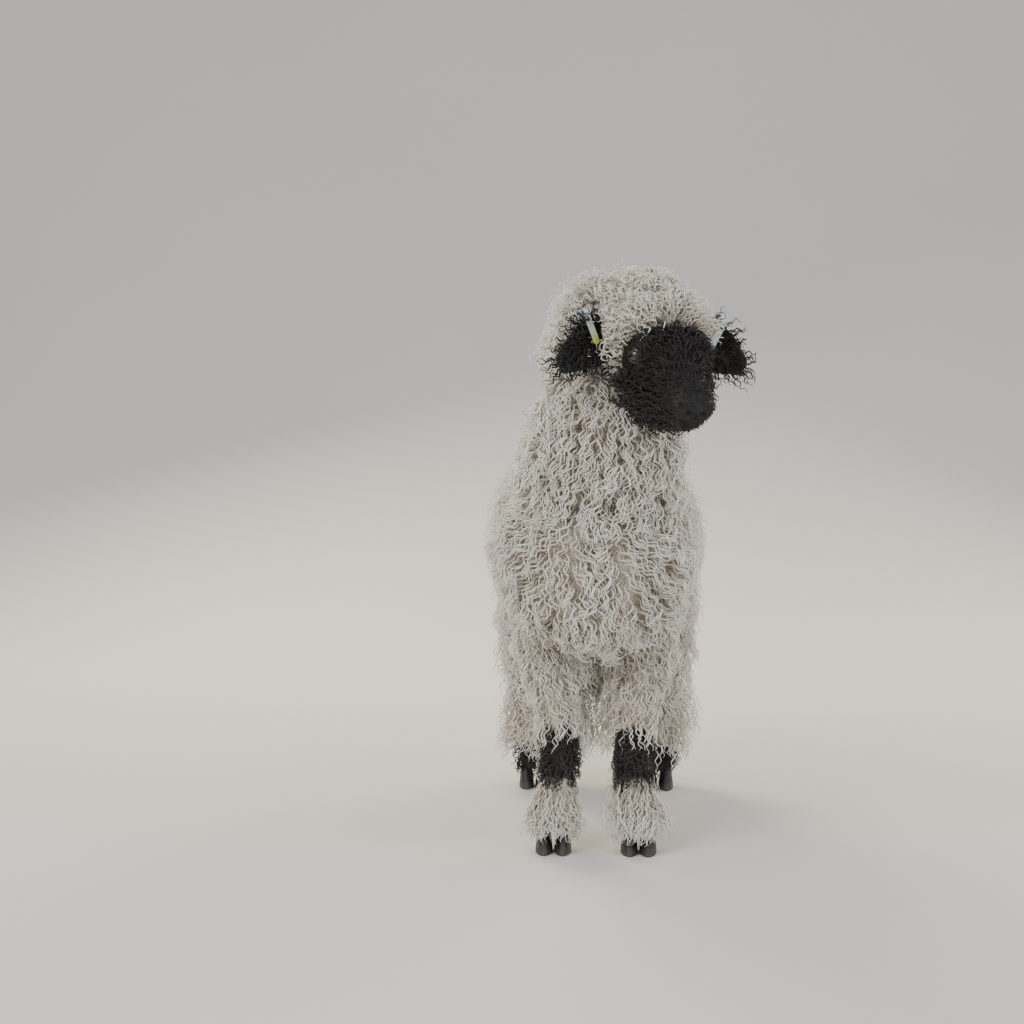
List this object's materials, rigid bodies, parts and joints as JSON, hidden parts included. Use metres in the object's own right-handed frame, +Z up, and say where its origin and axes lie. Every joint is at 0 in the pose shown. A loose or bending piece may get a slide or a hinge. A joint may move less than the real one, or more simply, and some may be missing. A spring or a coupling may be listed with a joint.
{
  "type": "valais blacknose lamb",
  "caption": "Life-size standing lamb with curly cream fleece, black face, ears and knees, head turned to its left.",
  "frame": {"origin": "on the floor, under the middle of the lamb's box", "axes": "+Z up, -Y the way the body faces, +X the lamb's own left"},
  "size_m": [0.3416, 0.8539, 0.766],
  "materials": {
    "fleece": "soft matte curly wool, cream",
    "leg_wool": "soft matte curly wool, cream with near-black knees, hocks and pasterns",
    "face_wool": "short matte near-black wool under a cream crown",
    "ear_wool": "short matte near-black curls",
    "eye": "wet, glossy, dark",
    "ear_tag": "pale blue-grey flexible plastic, satin, bare",
    "hoof": "dark horn, dull satin"
  },
  "bodies": {
    "root": {"head": "face_wool", "neck": "fleece", "torso": "fleece", "tail": "fleece", "ear_left": "ear_wool", "ear_right": "ear_wool", "eye_left": "eye", "eye_right": "eye", "tag_left": "ear_tag", "tag_right": "ear_tag", "leg_front_left": "leg_wool", "leg_front_right": "leg_wool", "leg_hind_left": "leg_wool", "leg_hind_right": "leg_wool", "hoof_front_left_inner": "hoof", "hoof_front_left_outer": "hoof", "hoof_front_right_inner": "hoof", "hoof_front_right_outer": "hoof", "hoof_hind_left_inner": "hoof", "hoof_hind_left_outer": "hoof", "hoof_hind_right_inner": "hoof", "hoof_hind_right_outer": "hoof"}
  },
  "joints": []
}
